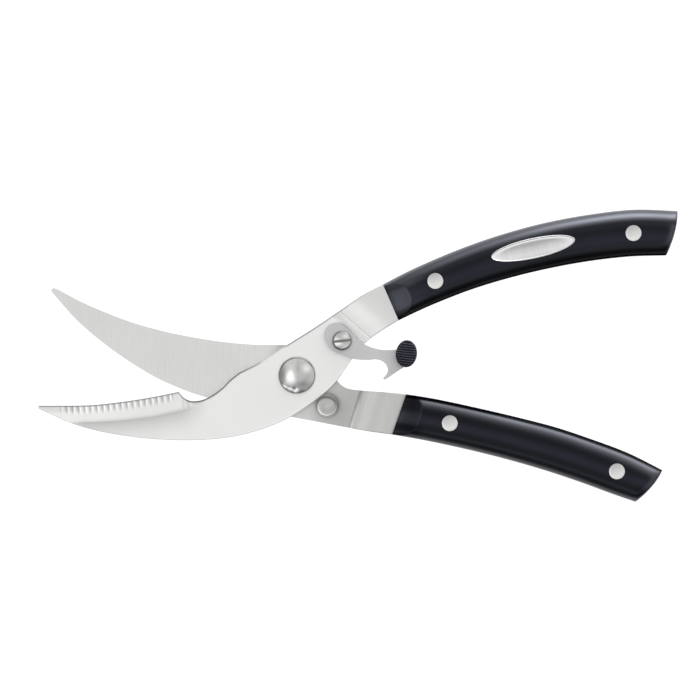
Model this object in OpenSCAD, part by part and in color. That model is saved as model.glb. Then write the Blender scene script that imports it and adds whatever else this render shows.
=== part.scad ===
// Poultry shears with a spring between the blades and a swinging handle lock.
// Millimetres. The shears lie open on the ground plane, and the origin is the
// middle of their outer box, on the ground. +Z is up, +X runs towards the
// handles, +Y towards the upper handle. Front parts face +Z, rear parts -Z.
// Measurements are taken from the centre of the main pivot, where the two
// blades meet, and home moves every piece from there to its place.
// Names end in _t for a thickness, _r for a radius and _z for a height.

/* [Blades] */
// Thickness of each blade at the pivot
blade_t = 3.2; // [3:0.05:3.4]
// Thickness of each blade at its tip
tip_t = 2.0; // [1.6:0.1:2.4]
// Spacing of the flutes in the serrated edge
flute_pitch = 2.25; // [2.2:0.01:2.3]
// Half gap between the two blades
gap = 0.03; // [0.02:0.01:0.05]

/* [Handles] */
// Overall thickness of each handle
handle_t = 15; // [14:0.5:16]
// Thickness of the steel tang inside each handle
tang_t = 4.0; // [3.6:0.1:4.4]
// Radius of the round heads of the handle rivets
rivet_r = 3.1; // [3:0.05:3.2]

/* [Pivot] */
// Radius of the domed pivot head
dome_r = 6.7; // [6:0.1:7]
// Radius of the pivot shank
shank_r = 3.0; // [2.8:0.1:3]
// Radius of the spring wire
wire_r = 0.45; // [0.35:0.05:0.5]

/* [Latch] */
// Thickness of the latch lever
lever_t = 1.6; // [1.4:0.1:1.6]
// Radius of the catch stud's flat head
stud_r = 3.94; // [3.6:0.02:4]

/* [Hidden] */
$fn = 64;

scale_z = handle_t / 2;             // outer face of a handle scale
home = [-22.85, -7.37, scale_z];    // where the pivot's centre lies

// Blades and tangs
tang_z = tang_t / 2;
tang_inset = 0.25;             // from the handle's edge to the tang's
bolster_hi = blade_t + 1.4;    // outer face of a bolster, away from the other blade
bolster_lo = 2.8;              // its inner face, beyond the other blade
bevel_edge_z = 0.35;           // bevel face at the cutting edge
bevel_back_z = 3.1;            // bevel face at its other side
tang_hole_r = 2.0;

// Pivot
thread_r = 2.5;
spring_r = 5.25;               // to the middle of the wire
leg_angle = 90;                // where the spring's legs stand

// Latch
screw = [16.9, 13.0];
screw_shank_r = 2.0;
shoulder_r = 2.6;              // part of the screw that the lever turns on
stud = [11.3, -11.6];
stud_shank_r = 1.99;
knob = [41.0, 8.1];
knob_rivet = [40.0, 7.8];
knob_rivet_r = 1.0;
lever_z = blade_t + 0.8;
lever_top = lever_z + lever_t;

// Badge
badge = [88.4, 47.5];
badge_angle = 12.1;
badge_radii = [16, 3.8];
badge_t = 0.9;

// Serrated blade and its arm, [x, y]: edge and notch from the tip inwards, arm out to the
// handle, then the spine from the handle back to the tip
front_edge = [[-96.9, -11.4], [-89.9, -11.4], [-77.6, -11.2], [-66.0, -10.0], [-55.0, -8.3],
              [-44.4, -6.2]];
front_notch = [[-44.4, -6.2], [-42.7, -8.2], [-40.6, -9.4], [-38.2, -9.7], [-35.0, -9.1],
               [-31.4, -7.3], [-28.0, -4.8], [-24.6, -1.4], [-21.4, 1.1]];
front_arm = [[-21.4, 1.1], [-13.5, 5.1], [-4.0, 11.2], [5.7, 17.3], [15.7, 24.0],
             [24.0, 29.7], [32.2, 34.1]];
front_spine = [[38.1, 20.6], [31.6, 16.6], [25.4, 11.9], [20.4, 5.6], [15.0, -2.0], [9.8, -7.2],
               [3.4, -11.9], [-3.6, -16.2], [-12.3, -19.9], [-22.9, -22.8], [-34.0, -24.1],
               [-46.0, -24.3], [-58.0, -23.5], [-70.0, -21.8], [-79.0, -19.7], [-86.0, -17.4],
               [-92.3, -14.6], [-96.9, -12.5]];
// Backs of its two bevels, [x, y]. The first runs one point past the edge, to shape its end.
edge_grind = [[-97.5, -16.8], [-89.9, -17.4], [-77.6, -17.5], [-66.0, -16.8], [-55.0, -15.5],
              [-44.4, -13.0], [-39.0, -11.4]];
notch_grind = [[-44.0, -12.8], [-41.8, -12.2], [-39.3, -11.9], [-36.3, -11.1], [-33.6, -9.4]];

// Plain blade and its arm, [x, y]: spine from tip to handle, edge from handle to tip
rear_spine = [[-91.4, 32.8], [-88.9, 31.8], [-81.4, 27.8], [-71.6, 23.5], [-61.1, 19.6],
              [-49.9, 16.5], [-38.6, 14.2], [-28.1, 12.6], [-16.9, 11.6], [-7.9, 11.8],
              [0, 12.3], [6.0, 10.8], [10.7, 7.4], [13.6, 3.0], [15.2, -2.0], [18.6, -4.8],
              [24.2, -5.7], [32.0, -6.3], [41.0, -7.1]];
rear_edge = [[35.7, -22.2], [27.0, -21.0], [19.0, -19.6], [7.5, -17.4], [-1.0, -15.8],
             [-9.4, -14.4], [-18.0, -12.8], [-26.0, -10.8], [-34.0, -8.3], [-41.6, -5.8],
             [-52.9, -0.8], [-64.1, 6.0], [-74.5, 13.6], [-82.9, 21.0], [-89.0, 27.8],
             [-92.4, 31.8]];
rear_tip = [[-92.4, 32.5], [-92.0, 32.9]];

// Handle edges, [x, y], in pairs across the handle, from the bolster to the butt
upper_top = [[32.2, 34.1], [44.0, 40.1], [60.4, 47.1], [76.1, 52.6],
             [92.6, 57.1], [109.9, 60.3], [126.4, 62.1], [142.6, 61.6]];
upper_bottom = [[38.1, 20.6], [49.9, 26.1], [64.9, 32.0], [79.9, 36.6],
                [94.9, 40.2], [109.9, 42.9], [124.9, 44.6], [138.4, 45.0]];
lower_top = [[41.0, -7.1], [52.1, -8.9], [67.1, -12.1], [82.1, -15.6],
             [97.1, -19.5], [110.6, -24.0], [124.1, -29.1], [136.9, -35.5]];
lower_bottom = [[35.7, -22.2], [47.6, -24.3], [62.6, -27.5], [77.6, -31.2],
                [92.6, -35.5], [106.1, -40.0], [118.1, -44.4], [126.8, -47.4]];
upper_rivets = [[51.8, 35.3], [125.9, 53.2]];
lower_rivets = [[57.2, -17.9], [119.7, -35.9]];

// Closed outline of the latch lever, [x, y] from its screw
lever_outline = [[-2.9, -3.9], [0.5, -5.2], [3.9, -6.7], [6.6, -7.15], [10.1, -7.25],
                 [12.4, -7.0], [14.6, -7.5], [16.2, -8.6], [17.0, -10.0], [17.1, -11.4],
                 [16.5, -12.8], [15.6, -13.8], [15.5, -14.3], [15.8, -14.6], [16.3, -14.5],
                 [17.6, -13.7], [20.3, -11.8], [22.6, -10.3], [24.0, -9.3], [24.6, -7.6],
                 [24.3, -5.6], [23.0, -4.0], [20.3, -3.4], [15.5, -3.5], [11.6, -2.7],
                 [8.7, -1.5], [6.6, -0.1], [4.0, 2.5], [1.5, 5.0], [-0.2, 6.2], [-2.0, 6.6],
                 [-4.4, 6.0], [-6.1, 4.2], [-6.5, 1.6], [-5.3, -1.4]];

// Catmull-Rom curves: one span from b to c, an open curve without its last point, an open
// curve with it, and a closed curve. Each span gets the given number of steps.
function span(a, b, c, d, t) =
    0.5 * ((2 * b) + (c - a) * t + (2 * a - 5 * b + 4 * c - d) * t * t
    + (3 * b - a - 3 * c + d) * t * t * t);
function spline(points, steps = 4) =
    let (end = len(points) - 1)
    [for (i = [0 : end - 1], k = [0 : steps - 1])
        span(points[max(i - 1, 0)], points[i], points[i + 1], points[min(i + 2, end)], k / steps)];
function full_spline(points, steps = 4) = concat(spline(points, steps), [last(points)]);
function closed_spline(points, steps = 4) =
    let (count = len(points))
    [for (i = [0 : count - 1], k = [0 : steps - 1])
        span(points[(i + count - 1) % count], points[i], points[(i + 1) % count],
             points[(i + 2) % count], k / steps)];

function last(points) = points[len(points) - 1];
function toward(from, to, distance) = from + distance * (to - from) / norm(to - from);

// Solid through a row of rings with equal numbers of points
module loft(rings, flip, convexity = 6) {
    around = len(rings[0]);
    faces = concat(
        [[for (j = [0 : around - 1]) j]],
        [for (i = [0 : len(rings) - 2], j = [0 : around - 1])
            let (here = around * i + j, next = around * i + (j + 1) % around)
            [here, here + around, next + around, next]],
        [[for (j = [around - 1 : -1 : 0]) around * (len(rings) - 1) + j]]);
    polyhedron([for (ring = rings, point = ring) point],
        flip ? [for (face = faces) [for (j = [len(face) - 1 : -1 : 0]) face[j]]] : faces,
        convexity = convexity);
}

// Outline of a tang, set in from the handle's edges, with a slightly bowed butt
function tang_plan(top, bottom) =
    let (upper = spline(top, 5), lower = spline(bottom, 5), end = len(upper) - 1,
         butt = last(bottom) - last(top), outward = [-butt[1], butt[0]] / norm(butt),
         inset = tang_inset / norm(butt), bow = 0.35)
    concat(
        [for (i = [0 : end]) toward(upper[i], lower[i], tang_inset)],
        [for (k = [0 : 8]) let (u = (k / 8) * (1 - 2 * inset) + inset)
            last(top) + butt * u + outward * 4 * bow * u * (1 - u)],
        [for (i = [end : -1 : 0]) toward(lower[i], upper[i], tang_inset)]);

// Side view of a forging, [s, z]: thin blade, a hollow sweep up to the bolster, the bolster,
// and a smooth step back to the inner face. The outer face looks to +Z for side 1, -Z for -1.
function forging_side(side) = concat(
    [[-135, gap * side], [-135, tip_t * side], [-50, blade_t * side], [-3.6, blade_t * side]],
    [for (i = [0 : 6]) let (u = i / 6)
        [-3.4 * (1 - u), (blade_t + (bolster_hi - blade_t) * u * u * u) * side]],
    [[60, bolster_hi * side], [60, -bolster_lo * side]],
    [for (i = [8 : -1 : 0]) let (u = i / 8)
        [-1.4 + 4 * u, (gap - (bolster_lo + gap) * u * u * (3 - 2 * u)) * side]]);

// Blade and bolster: the plan, cut to the side view, which is drawn out along the line
// through start and end. s grows from that line towards the handle.
module forging(plan, start, end, side) {
    along = end - start;
    intersection() {
        translate([0, 0, -6]) linear_extrude(12) polygon(plan);
        translate([start[0], start[1], 0])
            rotate([0, 0, atan2(along[1], along[0])])
            rotate([90, 0, 90])
            translate([0, 0, -140])
            linear_extrude(280) polygon(forging_side(side));
    }
}

module tang(top, bottom)
    translate([0, 0, -tang_z]) linear_extrude(tang_t) polygon(tang_plan(top, bottom));

// Cutter for a bevel between the edge and back curves. It takes away all that is outside the
// sloping face: above it for side 1, below it for side -1. The back curve may be longer.
module grinder(edge, back, side) {
    over = 1.2;    // how far it reaches past the edge
    outer_z = bevel_back_z + 3;
    loft([for (i = [0 : len(edge) - 1])
        let (out = toward(edge[i], back[i], -over),
             out_z = bevel_edge_z
                 - (bevel_back_z - bevel_edge_z) * over / norm(edge[i] - back[i]))
        [[out[0], out[1], side * out_z],
         [back[i][0], back[i][1], side * bevel_back_z],
         [back[i][0], back[i][1], side * outer_z],
         [out[0], out[1], side * outer_z]]], flip = side > 0);
}

// Slanting round cutters along the serrated edge, turning and rising with its curve
module flutes() {
    for (i = [0 : 17])
        translate([-85.15 + i * flute_pitch, -11.3 + max(0, i - 4) * 0.222, bevel_edge_z])
            rotate([0, 0, 8 - i * 0.9])
            rotate([60, 0, 0])
            translate([0, 0.98, -2])
            cylinder(r = 1.2, h = 5.4);
}

module rivet_holes(places, radius)
    for (place = places) translate([place[0], place[1], -20]) cylinder(r = radius, h = 40);

// Pivot hole, ring-shaped pocket for the spring and the hole for the spring's leg
module pivot_holes(side) {
    leg_h = 1.65;
    translate([0, 0, -10]) cylinder(r = shank_r + 0.05, h = 20);
    mirror([0, 0, side > 0 ? 0 : 1]) translate([0, 0, -1]) difference() {
        cylinder(r = 6.6, h = 2.6);
        translate([0, 0, -1]) cylinder(r = 3.95, h = 5);
    }
    rotate([0, 0, leg_angle])
        translate([spring_r, 0, side > 0 ? 1 : -1 - leg_h])
        cylinder(r = 0.6, h = leg_h);
}

// Serrated blade, with the upper handle's tang
module front_blade() {
    plan = concat(spline(front_edge), spline(front_notch), full_spline(front_arm),
                  full_spline(front_spine));
    color("silver") translate(home) difference() {
        union() {
            forging(plan, [15.7, 24.0], [27.3, 13.9], 1);
            tang(upper_top, upper_bottom);
        }
        grinder(spline(front_edge), spline(edge_grind), 1);
        grinder(spline([for (i = [0 : 4]) front_notch[i]]), spline(notch_grind), 1);
        flutes();
        pivot_holes(1);
        translate([screw[0], screw[1], 0.6]) cylinder(r = screw_shank_r + 0.01, h = 10);
        rivet_holes(upper_rivets, tang_hole_r);
    }
}

// Plain blade, with the lower handle's tang
module rear_blade() {
    edge = full_spline(rear_edge);
    first = 28;    // where the bevel starts along the edge
    end = len(edge) - 1;
    // The bevel narrows towards both its ends
    function width(i) = min(1, 0.25 + (i - first) / 7) * min(1, 0.12 + (end - i) / 9);
    color("gainsboro") translate(home) difference() {
        union() {
            forging(concat(full_spline(rear_spine), edge, rear_tip),
                    [24.1, -5.9], [18.9, -19.5], -1);
            tang(lower_top, lower_bottom);
        }
        grinder([for (i = [first : end]) edge[i]],
                [for (i = [first : end]) edge[i] + width(i) * [4.2, 6.0]], -1);
        pivot_holes(-1);
        translate([stud[0], stud[1], -20]) cylinder(r = stud_shank_r + 0.01, h = 40);
        rivet_holes(lower_rivets, tang_hole_r);
    }
}

module pivot_bolt() {
    half_angle = 25;    // of the dome's arc
    sphere_r = dome_r / sin(half_angle);
    thread_z = -3.9;
    rim_z = blade_t + 1.21;
    color("silver") translate(home) rotate_extrude($fn = 96) polygon(concat(
        [[0, -6.4], [thread_r, -6.4], [thread_r, thread_z], [shank_r, thread_z],
         [shank_r, blade_t], [dome_r - 0.15, blade_t], [dome_r, blade_t + 0.15]],
        [for (k = [0 : 12]) let (a = half_angle * (12 - k) / 12)
            [sphere_r * sin(a), rim_z + sphere_r * (cos(a) - cos(half_angle))]]));
}

// Round nut with two slots in its lower face
module pivot_nut() {
    slot_w = 1.4;
    color("silver") translate(home) difference() {
        translate([0, 0, -6.1]) cylinder(r = 6.3, h = 2.1, $fn = 96);
        translate([0, 0, -8]) cylinder(r = thread_r + 0.01, h = 6);
        for (a = [0, 180])
            rotate([0, 0, a]) translate([3.6, -slot_w / 2, -7]) cube([4, slot_w, 1.9]);
    }
}

module pivot_lock_washer() {
    color("silver") translate(home) rotate_extrude($fn = 96)
        polygon([[3.3, -3.98], [6.1, -3.75], [6.1, -3.26], [3.3, -3.5]]);
}

// Coil of two turns, with a short straight leg into each blade
module pivot_spring() {
    turns = 2;
    steps = 48;
    around = 10;
    coil_h = 1.9;
    leg_z = 2.45;
    // Steps -1 and steps + 1 are the ends of the legs
    function angle(i) = leg_angle + 360 * turns * min(max(i, 0), steps) / steps;
    function height(i) = i < 0 ? -leg_z : i > steps ? leg_z : -coil_h / 2 + coil_h * i / steps;
    // Second axis of the wire's section: level on a leg, sloping at the bend, upright on the coil
    function section_axis(i, a) =
        i < 0 || i > steps ? [sin(a), -cos(a), 0] :
        i == 0 || i == steps ? 0.6 * [sin(a), -cos(a), 1] : [0, 0, 1];
    rings = [for (i = [-1 : steps + 1])
        let (a = angle(i), radial = [cos(a), sin(a), 0], axis = section_axis(i, a))
        [for (j = [0 : around - 1]) let (w = 360 * j / around)
            spring_r * radial + [0, 0, height(i)] + wire_r * (cos(w) * radial + sin(w) * axis)]];
    color("dimgray") translate(home) loft(rings, flip = true, convexity = 8);
}

module latch_lever() {
    color("darkgray") translate(home) difference() {
        translate([screw[0], screw[1], lever_z])
            linear_extrude(lever_t) polygon(closed_spline(lever_outline));
        translate([screw[0], screw[1], 0]) cylinder(r = shoulder_r + 0.05, h = 20);
        translate([knob_rivet[0], knob_rivet[1], 0]) cylinder(r = knob_rivet_r + 0.05, h = 20);
        translate([knob_rivet[0], knob_rivet[1], lever_z - 0.01])
            cylinder(r1 = 1.75, r2 = knob_rivet_r + 0.05, h = 0.7);
    }
}

// Oval button on a round neck, with grooves along X across its top
module latch_knob() {
    button_r = 5.1;
    crown_h = 1.5;
    groove_pitch = 0.9;
    groove_w = 0.4;
    color("#222222") translate(home) difference() {
        union() {
            translate([knob_rivet[0], knob_rivet[1], lever_top]) cylinder(r = 2.1, h = 1.2);
            translate([knob[0], knob[1], lever_top + 1.0])
                rotate([0, 0, -6])
                scale([0.78, 1, 1])
                rotate_extrude($fn = 80) polygon(concat(
                    [[0, 0], [button_r - 0.3, 0], [button_r, 0.3], [button_r, 1.5]],
                    [for (k = [1 : 6])
                        [button_r * cos(k * 15), 1.5 + crown_h * sin(k * 15)]]));
        }
        for (i = [-5 : 5])
            translate([knob[0] - 6, knob[1] + i * groove_pitch - groove_w / 2, lever_top + 2.9])
                cube([12, groove_w, 3]);
        translate([knob_rivet[0], knob_rivet[1], 0])
            cylinder(r = knob_rivet_r, h = lever_top + 2.2);
    }
}

module latch_knob_rivet() {
    color("silver") translate(home) {
        translate([knob_rivet[0], knob_rivet[1], lever_z])
            cylinder(r = knob_rivet_r, h = lever_t + 2.2);
        translate([knob_rivet[0], knob_rivet[1], lever_z])
            cylinder(r1 = 1.7, r2 = knob_rivet_r, h = 0.66);
    }
}

// Shouldered screw with a slotted head
module latch_screw() {
    head_r = 3.6;
    head_z = lever_top + 0.05;
    slot_w = 0.9;
    color("silver") translate(home) translate([screw[0], screw[1], 0]) difference() {
        rotate_extrude($fn = 80) polygon([
            [0, 0.7], [screw_shank_r, 0.7], [screw_shank_r, blade_t], [shoulder_r, blade_t],
            [shoulder_r, head_z], [head_r, head_z], [head_r, head_z + 1.3],
            [head_r - 0.3, head_z + 1.65], [2.4, head_z + 1.85], [0, head_z + 1.95]]);
        rotate([0, 0, 6]) translate([-5, -slot_w / 2, head_z + 0.9]) cube([10, slot_w, 3]);
    }
}

// Cone-shaped washer under the lever
module latch_spring_washer() {
    color("silver") translate(home) translate([screw[0], screw[1], 0]) rotate_extrude($fn = 80)
        polygon([[2.8, blade_t + 0.45], [4.6, blade_t], [4.6, blade_t + 0.3],
                 [2.8, blade_t + 0.75]]);
}

// Stud with a collar, a narrower neck at the lever's height and a flat head
module catch_stud() {
    collar_r = 2.4;
    neck_r = 2.0;
    neck_z = lever_z - 0.1;
    head_z = lever_top + 0.15;
    color("silver") translate(home) translate([stud[0], stud[1], 0])
        rotate_extrude($fn = 80) polygon([
            [0, -3.2], [stud_shank_r, -3.2], [stud_shank_r, -gap], [collar_r, -gap],
            [collar_r, neck_z], [neck_r, neck_z], [neck_r, head_z], [stud_r - 0.3, head_z],
            [stud_r, head_z + 0.3], [stud_r, head_z + 1.35], [stud_r - 0.45, head_z + 1.8],
            [0, head_z + 1.8]]);
}

// One side of a handle with its rivet holes: flat against the tang, crowned edges, and a
// hollow ramp down to the bolster's face at bolster_z. Side is 1 towards +Z, -1 towards -Z.
module handle_scale(top, bottom, rivets, side, bolster_z) {
    upper = full_spline(top, 6);
    lower = full_spline(bottom, 6);
    end = len(upper) - 1;
    around = 20;
    ramp_l = 8;
    butt_l = 5;    // length over which the crown drops at the butt
    function middle(i) = (upper[i] + lower[i]) / 2;
    function crown_z(i) = tang_z + (scale_z - tang_z)
        * (1 - 0.3 * pow(max(0, 1 - norm(middle(i) - middle(end)) / butt_l), 2.2));
    function ramp_z(i) = bolster_z + 0.1
        + (scale_z - bolster_z) * pow(norm(middle(i) - middle(0)) / ramp_l, 1.35);
    // Each ring goes from one edge over the crown to the other, and closes along the flat
    rings = [for (i = [0 : end]) [for (j = [0 : around - 1])
        let (a = 180 * j / (around - 1),
             across = 0.5 - 0.5 * sign(cos(a)) * pow(abs(cos(a)), 0.62),
             place = upper[i] + (lower[i] - upper[i]) * across,
             z = min(tang_z + (crown_z(i) - tang_z) * pow(sin(a), 0.55), ramp_z(i)))
        [place[0], place[1], side * z]]];
    difference() {
        loft(rings, flip = side < 0);
        rivet_holes(rivets, rivet_r + 0.02);
    }
}

module upper_front_scale() {
    color("#26262c") translate(home) difference() {
        handle_scale(upper_top, upper_bottom, upper_rivets, 1, bolster_hi);
        at_badge() oval(badge_radii + [0.02, 0.02], 5);
    }
}

module upper_rear_scale()
    color("#26262c") translate(home)
        handle_scale(upper_top, upper_bottom, upper_rivets, -1, bolster_lo);

module lower_front_scale()
    color("#26262c") translate(home)
        handle_scale(lower_top, lower_bottom, lower_rivets, 1, bolster_lo);

module lower_rear_scale()
    color("#26262c") translate(home)
        handle_scale(lower_top, lower_bottom, lower_rivets, -1, bolster_hi);

// Cutlery rivets come in two halves: a hollow one from the front, a solid one from the back
module sleeves(places) {
    barrel_r = 1.98;
    bore_r = 1.21;
    head_z = tang_z + 1.2;
    for (place = places) translate([place[0], place[1], 0]) rotate_extrude()
        polygon([[bore_r, -5.0], [barrel_r, -5.0], [barrel_r, head_z], [rivet_r, head_z],
                 [rivet_r, scale_z], [0, scale_z], [0, 5.6], [bore_r, 5.6]]);
}

module pins(places) {
    pin_r = 1.2;
    for (place = places) translate([place[0], place[1], 0]) rotate_extrude()
        polygon([[0, -scale_z], [rivet_r, -scale_z], [rivet_r, -5.1], [pin_r, -5.1],
                 [pin_r, 4.6], [0, 4.6]]);
}

module upper_rivet_sleeves() color("silver") translate(home) sleeves(upper_rivets);
module upper_rivet_pins() color("silver") translate(home) pins(upper_rivets);
module lower_rivet_sleeves() color("silver") translate(home) sleeves(lower_rivets);
module lower_rivet_pins() color("silver") translate(home) pins(lower_rivets);

module at_badge()
    translate([badge[0], badge[1], scale_z - badge_t]) rotate([0, 0, badge_angle]) children();

module oval(radii, height)
    scale([radii[0], radii[1], 1]) cylinder(r = 1, h = height, $fn = 96);

// Oval plate with a raised rim
module handle_badge() {
    rim = 0.4;
    color("silver") translate(home) at_badge() difference() {
        oval(badge_radii, badge_t);
        translate([0, 0, badge_t - 0.15]) oval(badge_radii - [rim, rim], 2);
    }
}

front_blade();
rear_blade();
pivot_bolt();
pivot_nut();
pivot_lock_washer();
pivot_spring();
latch_lever();
latch_knob();
latch_knob_rivet();
latch_screw();
latch_spring_washer();
catch_stud();
upper_front_scale();
upper_rear_scale();
lower_front_scale();
lower_rear_scale();
upper_rivet_sleeves();
upper_rivet_pins();
lower_rivet_sleeves();
lower_rivet_pins();
handle_badge();
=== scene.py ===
"""Hand shears, lying flat with their blades towards -X and their handles towards +X.

Two forgings cross at a pivot with a coil between them. The front half is the one on top (+Z):
its blade is the -Y one and its handle the +Y one. Each handle has a plastic scale on either
side of the tang, held by two rivets. A latch lever with a ribbed knob turns on a screw in the
front half and meets a stud on the rear half. Shapes are in mm from the pivot's centre, meshes
in metres.
"""
import bpy
import bmesh
import math
import numpy as np
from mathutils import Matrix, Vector
from mathutils.kdtree import KDTree


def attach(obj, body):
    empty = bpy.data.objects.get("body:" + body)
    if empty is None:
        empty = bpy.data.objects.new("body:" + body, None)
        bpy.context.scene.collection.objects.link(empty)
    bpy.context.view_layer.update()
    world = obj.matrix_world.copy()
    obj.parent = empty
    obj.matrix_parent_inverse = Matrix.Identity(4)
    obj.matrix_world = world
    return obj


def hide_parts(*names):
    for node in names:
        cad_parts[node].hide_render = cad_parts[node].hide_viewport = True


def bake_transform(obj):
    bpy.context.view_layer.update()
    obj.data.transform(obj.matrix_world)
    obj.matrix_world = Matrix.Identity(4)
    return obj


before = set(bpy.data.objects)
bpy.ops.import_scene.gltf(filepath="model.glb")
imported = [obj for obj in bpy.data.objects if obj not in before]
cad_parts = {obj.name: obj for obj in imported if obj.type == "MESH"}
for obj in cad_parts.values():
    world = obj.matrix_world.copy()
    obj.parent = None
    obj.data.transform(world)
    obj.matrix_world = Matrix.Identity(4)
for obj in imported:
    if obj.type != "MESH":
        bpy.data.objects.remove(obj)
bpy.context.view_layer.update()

from types import SimpleNamespace

scene = bpy.context.scene

# ---------------------------------------------------------------- driving dimensions, in mm
MM = 0.001
BLADE_THICK, TIP_THICK = 3.2, 2.0
FACE_GAP = 0.03           # from the meeting plane to each blade's inner face
BOLSTER_OUT = 4.6         # bolster's outer face, from the meeting plane
BOLSTER_IN = 2.8          # bolster's inner face, past the meeting plane
TANG_HALF = 2.0
GRIP_TOP = 7.5            # outer face of a scale, from the meeting plane
FACET_LENGTH = 8.0        # of the slope at a scale's pivot end
HOME = np.array([-22.85, -7.37, GRIP_TOP])   # the pivot's centre in the frame

PIVOT = (0, 0)
PIVOT_HOLE_R, RIVET_HOLE_R = 3.05, 2.02
SCREW, STUD = (16.9, 13.0), (11.3, -11.6)
RIVET_R = 3.0
UPPER_RIVETS = [(51.8, 35.3), (125.9, 53.2)]
LOWER_RIVETS = [(57.2, -17.9), (119.7, -35.9)]

LEVER_BOTTOM, LEVER_THICK = 4.0, 1.6
LEVER_TOP = LEVER_BOTTOM + LEVER_THICK
SCREW_SEAT = LEVER_TOP + 0.05
DOME_R, STUD_R = 6.7, 3.94

KNOB, KNOB_STEM = (41.0, 8.1), (40.0, 7.8)
KNOB_RX, KNOB_RY, KNOB_TILT = 3.98, 5.1, -6   # tilts are in degrees
RIB_PITCH = 0.92

BADGE, BADGE_RX, BADGE_RY, BADGE_TILT = (88.4, 47.5), 16.0, 3.8, 12.1

FLUTE_PITCH, FIRST_FLUTE_X = 2.25, -85.15

# ---------------------------------------------------------------- outlines: x, y
FRONT_EDGE = [[-96.9, -11.4], [-89.9, -11.4], [-77.6, -11.2], [-66.0, -10.0], [-55.0, -8.3],
              [-44.4, -6.2]]
FRONT_NOTCH = [[-44.4, -6.2], [-42.7, -8.2], [-40.6, -9.4], [-38.2, -9.7], [-35.0, -9.1],
               [-31.4, -7.3], [-28.0, -4.8], [-24.6, -1.4], [-21.4, 1.1]]
FRONT_BACK = [[-21.4, 1.1], [-13.5, 5.1], [-4.0, 11.2], [5.7, 17.3], [15.7, 24.0], [24.0, 29.7],
              [32.2, 34.1]]
FRONT_SPINE = [[38.1, 20.6], [31.6, 16.6], [25.4, 11.9], [20.4, 5.6], [15.0, -2.0], [9.8, -7.2],
               [3.4, -11.9], [-3.6, -16.2], [-12.3, -19.9], [-22.9, -22.8], [-34.0, -24.1],
               [-46.0, -24.3], [-58.0, -23.5], [-70.0, -21.8], [-79.0, -19.7], [-86.0, -17.4],
               [-92.3, -14.6], [-96.9, -12.5]]
REAR_SPINE = [[-91.4, 32.8], [-88.9, 31.8], [-81.4, 27.8], [-71.6, 23.5], [-61.1, 19.6],
              [-49.9, 16.5], [-38.6, 14.2], [-28.1, 12.6], [-16.9, 11.55], [-7.9, 11.4],
              [-1.5, 11.3], [6.0, 10.8], [10.7, 7.4], [13.6, 3.0], [15.2, -2.0], [18.6, -4.8],
              [24.2, -5.7], [32.0, -6.3], [41.0, -7.1]]
REAR_EDGE = [[35.7, -22.2], [27.0, -21.0], [19.0, -19.6], [7.5, -17.4], [-1.0, -15.8],
             [-9.4, -14.4], [-18.0, -12.8], [-26.0, -10.8], [-34.0, -8.3], [-41.6, -5.8],
             [-52.9, -0.8], [-64.1, 6.0], [-74.5, 13.6], [-82.9, 21.0], [-89.0, 27.8],
             [-92.4, 31.8]]
# each handle has its +Y rail first, then its -Y rail
UPPER_RAILS = (
    [[32.2, 34.1], [44.0, 40.1], [60.4, 47.1], [76.1, 52.6], [92.6, 57.1], [109.9, 60.3],
     [126.4, 62.1], [142.6, 61.6]],
    [[38.1, 20.6], [49.9, 26.1], [64.9, 32.0], [79.9, 36.6], [94.9, 40.2], [109.9, 42.9],
     [124.9, 44.6], [138.4, 45.0]])
LOWER_RAILS = (
    [[41.0, -7.1], [52.1, -8.9], [67.1, -12.1], [82.1, -15.6], [97.1, -19.5], [110.6, -24.0],
     [124.1, -29.1], [136.9, -35.5]],
    [[35.7, -22.2], [47.6, -24.3], [62.6, -27.5], [77.6, -31.2], [92.6, -35.5], [106.1, -40.0],
     [118.1, -44.4], [126.8, -47.4]])
# measured from the screw
LEVER_OUTLINE = [
    [-2.9, -3.9], [0.5, -5.2], [3.9, -6.7], [6.6, -7.15], [10.1, -7.25], [12.4, -7.0],
    [14.6, -7.5], [16.2, -8.6], [17.0, -10.0], [17.1, -11.4], [16.5, -12.8], [15.6, -13.8],
    [15.5, -14.3], [15.8, -14.6], [16.3, -14.5], [17.6, -13.7], [20.3, -11.8], [22.6, -10.3],
    [24.0, -9.3], [24.6, -7.6], [24.3, -5.6], [23.0, -4.0], [20.3, -3.4], [15.5, -3.5],
    [11.6, -2.7], [8.7, -1.5], [6.6, -0.1], [4.0, 2.5], [1.5, 5.0], [-0.2, 6.2], [-2.0, 6.6],
    [-4.4, 6.0], [-6.1, 4.2], [-6.5, 1.6], [-5.3, -1.4]]

# points that face each other across a forging: edge x, edge y, spine x, spine y
FRONT_ANCHORS = [
    (-96.9, -11.4, -96.9, -12.5), (-92.6, -11.4, -92.4, -14.5), (-86.6, -11.3, -85.9, -17.4),
    (-77.6, -11.2, -76.9, -20.2), (-67.1, -10.1, -65.6, -22.5), (-56.6, -8.5, -54.4, -23.7),
    (-44.4, -6.2, -42.4, -24.2), (-42.7, -8.2, -40.1, -24.3), (-40.3, -9.4, -37.9, -24.2),
    (-37.7, -9.7, -35.2, -24.1), (-34.5, -9.0, -32.2, -24.0), (-30.6, -6.9, -28.1, -23.7),
    (-26.4, -3.4, -23.6, -23.0), (-21.4, 1.1, -16.9, -21.4), (-13.1, 5.5, -7.1, -17.8),
    (-4.1, 11.1, 3.4, -12.0), (4.1, 16.7, 11.6, -5.5), (9.8, 20.3, 18.2, 2.8),
    (12.9, 22.2, 24.6, 11.0), (15.7, 24.0, 27.5, 13.6), (24.0, 29.7, 32.6, 17.3),
    (32.2, 34.1, 38.1, 20.6)]
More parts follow.
